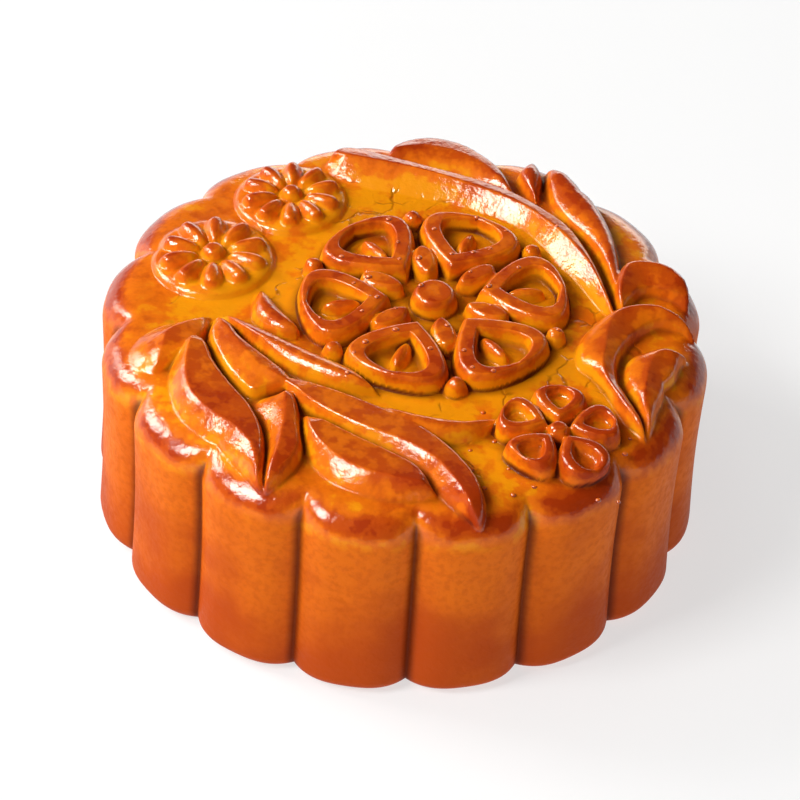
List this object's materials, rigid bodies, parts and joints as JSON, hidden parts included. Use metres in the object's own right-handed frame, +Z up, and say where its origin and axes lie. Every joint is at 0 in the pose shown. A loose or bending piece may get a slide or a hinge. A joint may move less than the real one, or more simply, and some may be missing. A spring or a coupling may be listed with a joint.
{
  "type": "mooncake",
  "caption": "Round baked mooncake with fluted sides, rounded shoulders, a flat base and moulded leaves and flowers on top.",
  "frame": {"origin": "centre of the flat base", "axes": "+Z up through the middle of the top; +X right and +Y back, seen with the leaf folded in two at the front left"},
  "size_m": [0.0796, 0.0797, 0.0332],
  "materials": {
    "crust": "satin, egg-washed and browned on top"
  },
  "bodies": {
    "root": {"mooncake": "crust"}
  },
  "joints": []
}
